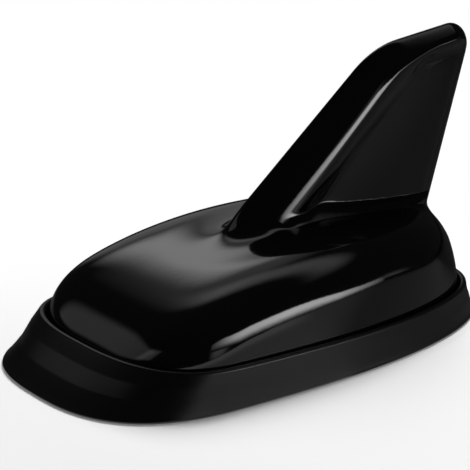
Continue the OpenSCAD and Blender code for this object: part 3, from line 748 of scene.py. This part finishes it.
class AERIAL_OT_cover(bpy.types.Operator):
    """Build the gloss cover from its plan, dome and fin"""
    bl_idname = "aerial.cover"
    bl_label = "Cover"

    def execute(self, context):
        scene = context.scene
        groups = (scene.aerial_skirt, scene.aerial_dome, scene.aerial_fin)
        form = CoverForm(*[in_mm(group) for group in groups])
        outer, inner = form.outer(), form.inner()
        stack = [whole(ring) for ring in outer + inner]
        sides = 2 * form.half
        points = np.vstack(stack)
        points[:, 0] += FRAME_SHIFT
        no, ni = len(outer), len(inner)
        faces = skin_faces(0, no, sides, False)
        faces += skin_faces(no, ni, sides, True)
        # The rim's underside joins the two skins
        for j in range(sides):
            k = (j + 1) % sides
            faces.append([no * sides + j, no * sides + k, k, j])
        faces += cap((no - 1) * sides, sides, False)
        faces += cap((no + ni - 1) * sides, sides, True)
        gloss = gloss_black(scene.aerial_finish.gloss)
        piece = mesh_piece("cover_moulding", points * MM, faces, gloss)
        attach(piece, "root")
        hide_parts("cover")
        return {"FINISHED"}


# Length that stands for the whole rise in the drawn section
SHARE = 0.01
# The sweep: radius in millimetres and steps of the section's corners, points round the plan
# and round the section, merging distance in metres, share of the lip's height from which the
# lip rises and how steeply
SWEEP = SimpleNamespace(corner=0.4, arc=4, rounds=385, steps=161, merge=0.000002,
                        rise_from=0.45, rise_steep=4)
# Inputs of the sweep that come from the skirt's sizes of the same names
SWEPT = ("Length", "Width", "Widest", "Nose Fullness", "Tail Fullness", "Flare Nose",
         "Flare Side", "Flare Tail", "Bow Nose", "Bow Tail", "Lip Rise", "Lip Height")


def skirt_section(s):
    """The skirt's section: share of the rise, fixed inset and height, in metres.

    The share of the rise is drawn as a length too, SHARE standing for all of it; the tree
    turns it into the share of the flare with the bow of each end.
    """
    # Height of the toe, width of the foot, chamfer of the lip; the rises of the underside
    toe, foot, edge = 0.8, 1.2, 0.35
    arch = ((0.75, 2.4), (0.25, 1.2))
    top, rim = s.lip_height, s.base + s.flange
    seat = s.lip + s.gap + s.plate_in - s.seat_gap
    reach = s.lip + s.gap + s.wall + s.flange_in
    rows = [(0, toe, 0), (0, 0, toe)]
    steps = 6
    for i in range(1, steps + 1):
        share = i / steps
        rows.append((share, 0, lerp(toe, top - edge, share)))
    rows += [(1, edge, top), (1, s.lip - edge, top), (1, s.lip, top - edge), (1, s.lip, rim),
             (1, reach, rim), (1, reach, s.base), (1, seat, s.base), (1, seat, 0),
             (1, seat - foot, 0)]
    rows += [(share, lerp(foot, seat - foot, share), rise) for share, rise in arch]
    rows.append((0, foot, 0))
    return [(share * SHARE, inset * MM, height * MM) for share, inset, height in rows]


def signed_power(value, exponent):
    return value.math("SIGN") * (value.math("ABSOLUTE") ** exponent)


def sweep_tree():
    """Carries a closed section round an egg-shaped plan."""
    sockets = [("Section", "NodeSocketGeometry")]
    sockets += [(name, "NodeSocketFloat") for name in SWEPT + ("Corner",)]
    sockets += [("Rounds", "NodeSocketInt"), ("Steps", "NodeSocketInt"),
                ("Material", "NodeSocketMaterial")]
    tree = bpy.data.node_groups.new("SkirtSweep", "GeometryNodeTree")
    tree.interface.new_socket("Geometry", in_out="OUTPUT", socket_type="NodeSocketGeometry")
    for label, kind in sockets:
        tree.interface.new_socket(label, in_out="INPUT", socket_type=kind)
    net = Net(tree)
    given = {socket.name: Wire(net, socket) for socket in net.node("NodeGroupInput").outputs}
    grid = net.get("GeometryNodeMeshGrid", {
        "Size X": 1.0, "Size Y": 1.0, "Vertices X": given["Rounds"], "Vertices Y": given["Steps"]})
    right, up, _ = net.parts(net.get("GeometryNodeInputPosition"))
    around, along = (right + 0.5) * math.tau, up + 0.5
    line = net.get("GeometryNodeMeshToCurve", {"Mesh": given["Section"]})
    line = net.get("GeometryNodeFilletCurve", {
        "Curve": line, "Count": SWEEP.arc, "Radius": given["Corner"], "Limit Radius": True},
        {"mode": "POLY"})
    sample = net.get("GeometryNodeSampleCurve", {"Curves": line, "Factor": along},
                     {"mode": "FACTOR"}, output="Position")
    share, inset, height = net.parts(sample)
    share = share / SHARE
    c, s = around.math("COSINE"), around.math("SINE")
    nose = net.math("LESS_THAN", c, 0.0)
    fullness = given["Tail Fullness"] + (given["Nose Fullness"] - given["Tail Fullness"]) * nose
    exponent = 2 / fullness
    side_share = share.math("MAXIMUM", 0.0) ** given["Bow Nose"]
    tail_share = share.math("MAXIMUM", 0.0) ** given["Bow Tail"]
    tail_flare = given["Flare Tail"] * tail_share
    end_flare = tail_flare + (given["Flare Nose"] * side_share - tail_flare) * nose
    span = given["Length"] / 2 + given["Widest"] * (nose * 2 - 1)
    x = given["Widest"] + signed_power(c, exponent) * (span - end_flare - inset)
    side_flare = side_share * given["Flare Side"]
    y = signed_power(s, exponent) * (given["Width"] / 2 - side_flare - inset)
    lip = (height / given["Lip Height"]).math("MINIMUM", 1.0)
    upper = (lip - SWEEP.rise_from) * SWEEP.rise_steep
    upper = upper.math("MAXIMUM", 0.0).math("MINIMUM", 1.0)
    outline_x = given["Widest"] + signed_power(c, exponent) * span
    z = height - upper * given["Lip Rise"] * outline_x / (given["Length"] / 2)
    point = net.get("ShaderNodeCombineXYZ", {0: x, 1: y, 2: z})
    moved = net.get("GeometryNodeSetPosition", {"Geometry": grid, "Position": point})
    joined = net.get("GeometryNodeMergeByDistance", {
        "Geometry": moved, "Distance": SWEEP.merge})
    solid = net.get("GeometryNodeRealizeInstances", {"Geometry": joined})
    dressed = net.get("GeometryNodeSetMaterial", {
        "Geometry": solid, "Material": given["Material"]})
    net.node("NodeGroupOutput", {"Geometry": dressed})
    return tree


def grown(name, tree, seed, values):
    """The plain mesh that a geometry tree makes of a seed mesh."""
    holder = add_object(name, seed)
    modifier = holder.modifiers.new("Grow", "NODES")
    modifier.node_group = tree
    for item in tree.interface.items_tree:
        if item.in_out == "INPUT" and item.name in values:
            modifier[item.identifier] = values[item.name]
    graph = bpy.context.evaluated_depsgraph_get()
    mesh = bpy.data.meshes.new_from_object(holder.evaluated_get(graph), depsgraph=graph)
    mesh.name = name
    holder.modifiers.remove(modifier)
    holder.data = mesh
    return holder


def outward(mesh):
    """Turn a closed mesh whose faces all point inwards."""
    points = np.array([v.co for v in mesh.vertices])
    mesh.calc_loop_triangles()
    volume = 0
    for triangle in mesh.loop_triangles:
        a, b, c = points[list(triangle.vertices)]
        volume += np.dot(a, np.cross(b, c))
    if volume < 0:
        mesh.flip_normals()


class AERIAL_OT_skirt(bpy.types.Operator):
    """Sweep the soft skirt's section round the plan"""
    bl_idname = "aerial.skirt"
    bl_label = "Skirt"

    def execute(self, context):
        sizes = context.scene.aerial_skirt
        values = {name: getattr(sizes, name.lower().replace(" ", "_")) for name in SWEPT}
        values.update({"Corner": SWEEP.corner * MM, "Rounds": SWEEP.rounds, "Steps": SWEEP.steps,
                       "Material": soft_black(context.scene.aerial_finish.soft)})
        line = skirt_section(in_mm(sizes))
        seed = bpy.data.meshes.new("skirt_section")
        seed.from_pydata(line, [(i, (i + 1) % len(line)) for i in range(len(line))], [])
        piece = grown("skirt_moulding", sweep_tree(), seed, values)
        mesh = piece.data
        mesh.transform(Matrix.Translation((FRAME_SHIFT * MM, 0, 0)))
        outward(mesh)
        mesh.shade_smooth()
        mesh.set_sharp_from_angle(angle=SKIRT_SHARP)
        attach(piece, "root")
        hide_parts("skirt")
        return {"FINISHED"}


def dress(node, material):
    """Give a carried-over solid its finish."""
    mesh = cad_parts[node].data
    if mesh.materials:
        for i in range(len(mesh.materials)):
            mesh.materials[i] = material
    else:
        mesh.materials.append(material)


class AERIAL_OT_finishes(bpy.types.Operator):
    """Give the underside and the inner pieces their finishes"""
    bl_idname = "aerial.finishes"
    bl_label = "Finishes"

    def execute(self, context):
        tones = context.scene.aerial_finish
        finishes = (
            (grained("moulded_base", tones.base, 0.5), "base_plate"),
            (foam(tones.foam), "adhesive_pad patch_tape mast_foam"),
            (grained("black_rubber", (0.012, 0.012, 0.012), 0.6), "lead_grommet"),
            (plated("zinc_steel", (0.6, 0.6, 0.61), 0.3), "cover_screws board_screws"),
            (grained("solder_mask", (0.012, 0.09, 0.045), 0.35, scale=700, depth=0.00003),
             "main_board mast_board"),
            (grained("fired_ceramic", (0.55, 0.5, 0.4), 0.55), "patch_ceramic"),
            (plated("silver_film", (0.8, 0.79, 0.77), 0.35, scale=1500, depth=0.00003),
             "patch_electrode"),
            (plated("gilt", (0.8, 0.6, 0.27), 0.28, depth=0.00003), "patch_pin lead_sockets"),
            (plated("tinned_sheet", (0.62, 0.62, 0.61), 0.3, scale=500, spread=0.12),
             "shield_can"),
            (grained("chip_black", (0.02, 0.02, 0.021), 0.5), "amplifier_chip"),
            (grained("chip_tan", (0.33, 0.24, 0.15), 0.45), "chip_parts"),
            (grained("nylon", (0.7, 0.68, 0.62), 0.45), "coil_former mast_holder"),
            (plated("copper", (0.68, 0.3, 0.14), 0.3, scale=1200, spread=0.12),
             "coil_winding mast_track"))
        for material, nodes in finishes:
            for node in nodes.split():
                dress(node, material)
        return {"FINISHED"}


def direction(azimuth, elevation):
    """Direction of a compass angle from the near side towards the tail, in degrees."""
    a, e = math.radians(azimuth), math.radians(elevation)
    return Vector((math.sin(a) * math.cos(e), -math.cos(a) * math.cos(e), math.sin(e)))


# The photo's camera: direction from the target, distance, target in metres; lens and sensor
# in millimetres, clipping in metres
VIEW_BACK = direction(-36.24, 17.42)
VIEW_DISTANCE = 0.501
VIEW_TARGET = Vector(((FRAME_SHIFT - 7.27) * MM, 0, 30.18 * MM))
VIEW_LENS, VIEW_SENSOR, VIEW_CLIP = 148.4, 36, 0.01


def place_camera(scene):
    data = bpy.data.cameras.new("photo_view")
    data.lens = VIEW_LENS
    data.sensor_width = VIEW_SENSOR
    data.clip_start = VIEW_CLIP
    camera = add_object("photo_view", data)
    camera.location = VIEW_TARGET + VIEW_BACK * VIEW_DISTANCE
    camera.rotation_euler = VIEW_BACK.to_track_quat("Z", "Y").to_euler()
    scene.camera = camera


# Boxes of light that the gloss mirrors: angle, elevation, width and height in degrees,
# softness of the edges across and upright, strength
BOXES = (
    (8, 10, 30, 26, (12, 8), 0.5), (58, -1, 26, 9, (10, 4), 0.35),
    (157, 31.5, 28, 15, (13, 7), 1.0), (152, 42, 36, 30, (14, 12), 0.2),
    (153, 16, 30, 26, (8, 8), 0.25), (112, 60, 100, 18, (30, 8), 0.45),
    (-136, 26, 52, 26, (8, 5), 0.23), (-112, 27, 26, 26, (8, 6), 0.3))
# Level between the boxes, and the least that a ray has to face a box to meet it
AMBIENT, FACING = 0.012, 0.05

# The strip of light: centre and radius in metres; angle, lower and upper edge in degrees and
# strength of each station; steps between stations and across; shares of its breadth over
# which it fades in from below and out above
STRIP_CENTRE = Vector((0, -0.035, 0.018))
STRIP_AWAY = 0.42
STRIP = ((-10, 12, 27, 0.3), (0, 10, 28, 1.0), (8, 8, 27, 2.0), (16, 6, 23, 3.5),
         (24, 2.2, 19, 5.0), (32, -0.5, 13.5, 6.0), (38, -1.6, 10, 5.4), (44, -2.2, 5.5, 4.6),
         (50, -2.3, 3, 2.2), (58, -2.3, 2, 0.4))
STRIP_STEPS, STRIP_ACROSS = 4, 12
STRIP_FADE_IN, STRIP_FADE_OUT = 0.6, 0.12

# The floor: half its side, the near side's place, and the painted glow that glossy rays see on
# it, a painted reflection of a lit floor: a painted pool of light in front, darker beside the
# tail, painted shade under the object and darker far off; the camera's share of white near the
# object, where the shadow shows. Each pair is where one sets in and is full: metres away, slope
# aside, square metres for a reach.
FLOOR = SimpleNamespace(
    half=3.0, near=0.035, level=0.3,
    pool=0.3, painted_pool_away=(0.06, 0.2), painted_pool_aside=(0.85, 0.6),
    tail=0.2, tail_aside=(0.5, 1.6),
    under=0.8, under_back=(0.0, 0.04),
    far=0.9, far_aside=(0.9, 1.5), far_reach=(0.02, 0.4),
    share_near=0.1, white_reach=(0.005, 0.022))
# Where the lamps aim, in metres
LAMP_AIM = Vector((0, 0, 0.03))


def soft_box(net, ray, azimuth, elevation, width, height, soft, strength):
    """Light that a ray meets from a soft-edged box far away."""
    centre = direction(azimuth, elevation)
    right = centre.cross(Vector((0, 0, -1))).normalized()
    facing = net.dot(ray, centre)
    share = facing.math("GREATER_THAN", FACING)
    depth = facing.math("MAXIMUM", FACING)
    for axis, half, edge in ((right, width / 2, soft[0]),
                             (centre.cross(right), height / 2, soft[1])):
        away = (net.dot(ray, axis) / depth).math("ABSOLUTE")
        outer, inner = math.tan(math.radians(half)), math.tan(math.radians(half - edge))
        share = share * net.ease_step(away, outer, inner)
    return share * strength


def strip_light():
    """A curved strip of light on the near side, which the camera doesn't see."""
    points, faces, glow = [], [], []
    for i in range(STRIP_STEPS * (len(STRIP) - 1) + 1):
        k = min(i // STRIP_STEPS, len(STRIP) - 2)
        azimuth, low, high, strength = [lerp(a, b, i / STRIP_STEPS - k)
                                        for a, b in zip(STRIP[k], STRIP[k + 1])]
        for j in range(STRIP_ACROSS + 1):
            v = j / STRIP_ACROSS
            points.append(STRIP_CENTRE + direction(azimuth, lerp(low, high, v)) * STRIP_AWAY)
            glow.append(strength * smooth(v / STRIP_FADE_IN) * smooth((1 - v) / STRIP_FADE_OUT))
    row = STRIP_ACROSS + 1
    for a in range(len(points) - row):
        if a % row < STRIP_ACROSS:
            faces.append((a, a + 1, a + row + 1, a + row))

    def build(net, where):
        return net.light(net.get("ShaderNodeAttribute", settings={"attribute_name": "glow"},
                                 output="Fac"))
    strip = mesh_piece("strip_light", points, faces, surface("strip_glow", build))
    levels = strip.data.attributes.new("glow", "FLOAT", "POINT")
    levels.data.foreach_set("value", [float(g) for g in glow])
    strip.visible_camera = False


def area_light(name, place, width, depth, watts):
    """A large lamp for the level of the light; the world's boxes are what the gloss shows."""
    data = bpy.data.lights.new(name, "AREA")
    data.shape = "RECTANGLE"
    data.size = width
    data.size_y = depth
    data.energy = watts
    lamp = add_object(name, data)
    lamp.location = place
    lamp.rotation_euler = (Vector(place) - LAMP_AIM).to_track_quat("Z", "Y").to_euler()
    lamp.visible_glossy = False


def lay_floor(paper):
    """A pale floor; FLOOR says what the camera sees and the painted light the gloss sees of it."""
    def build(net, where):
        matt = net.get("ShaderNodeBsdfDiffuse", {"Color": paper})
        x, y, _ = net.parts(where)
        y = y + FLOOR.near
        away = (y * -1).math("MAXIMUM", SLIVER)
        aside = x / away
        reach = x * x + y * y
        # Painted pool of light in front and painted shade under the object, in the floor's glow
        # for glossy rays
        pool = net.ease_step(away, *FLOOR.painted_pool_away) * net.ease_step(aside, *FLOOR.painted_pool_aside)
        level = FLOOR.level - FLOOR.tail * net.ease_step(aside, *FLOOR.tail_aside)
        level = level + FLOOR.pool * pool
        level = level * (1 - FLOOR.under * net.ease_step(y, *FLOOR.under_back))
        beside = net.ease_step(aside, *FLOOR.far_aside)
        level = level * (1 - FLOOR.far * beside * net.ease_step(reach, *FLOOR.far_reach))
        white = FLOOR.share_near + (1 - FLOOR.share_near) * net.ease_step(
            reach, *FLOOR.white_reach)
        pale = net.blend(net.rays("Camera", "Transmission") * white, matt, net.light(1.0))
        # Glossy rays see this painted glow instead of the lit paper
        return net.blend(net.rays("Glossy"), pale, net.light(level))
    half = FLOOR.half
    corners = [(-half, -half, 0), (half, -half, 0), (half, half, 0), (-half, half, 0)]
    floor = mesh_piece("floor", corners, [(0, 1, 2, 3)], surface("paper", build))


def light_world(scene):
    """White for the camera, and a dim studio with boxes of light for all other rays."""
    world = bpy.data.worlds.new("studio")
    scene.world = world
    net = clean_net(world)
    ray = net.get("ShaderNodeTexCoord", output="Generated")
    glow = AMBIENT
    for box in BOXES:
        glow = glow + soft_box(net, ray, *box)
    studio, white = [net.get("ShaderNodeBackground", {"Color": tone, "Strength": 1.0})
                     for tone in (glow, WHITE)]
    sky = net.blend(net.rays("Camera", "Transmission"), studio, white)
    net.node("ShaderNodeOutputWorld", {"Surface": sky})


class AERIAL_OT_stage(bpy.types.Operator):
    """Lay the pale floor and set the lights and the camera"""
    bl_idname = "aerial.stage"
    bl_label = "Stage"

    def execute(self, context):
        scene = context.scene
        lay_floor(opaque(scene.aerial_finish.paper))
        light_world(scene)
        strip_light()
        area_light("top_box", (0.38, 0.24, 0.66), width=0.5, depth=0.5, watts=8)
        area_light("near_box", (-0.35, -0.55, 0.6), width=0.4, depth=0.3, watts=0.8)
        place_camera(scene)
        scene.view_settings.view_transform = "Standard"
        return {"FINISHED"}


class AERIAL_PT_panel(bpy.types.Panel):
    """The aerial's steps in the sidebar"""
    bl_idname = "AERIAL_PT_panel"
    bl_label = "Shark Fin Aerial"
    bl_space_type = "VIEW_3D"
    bl_region_type = "UI"
    bl_category = "Aerial"

    def draw(self, context):
        for step in STEPS:
            self.layout.operator(step.bl_idname)


GROUPS = {"aerial_skirt": SkirtSizes, "aerial_dome": DomeSizes, "aerial_fin": FinSizes,
          "aerial_finish": Finishes}
STEPS = (AERIAL_OT_cover, AERIAL_OT_skirt, AERIAL_OT_finishes, AERIAL_OT_stage)
CLASSES = tuple(GROUPS.values()) + STEPS + (AERIAL_PT_panel,)


def register():
    for cls in CLASSES:
        bpy.utils.register_class(cls)
    for name, group in GROUPS.items():
        setattr(bpy.types.Scene, name, PointerProperty(type=group))


def unregister():
    for name in GROUPS:
        delattr(bpy.types.Scene, name)
    for cls in reversed(CLASSES):
        bpy.utils.unregister_class(cls)


def main():
    register()
    bpy.ops.aerial.cover()
    bpy.ops.aerial.skirt()
    bpy.ops.aerial.finishes()
    bpy.ops.aerial.stage()


if __name__ == "__main__":
    main()
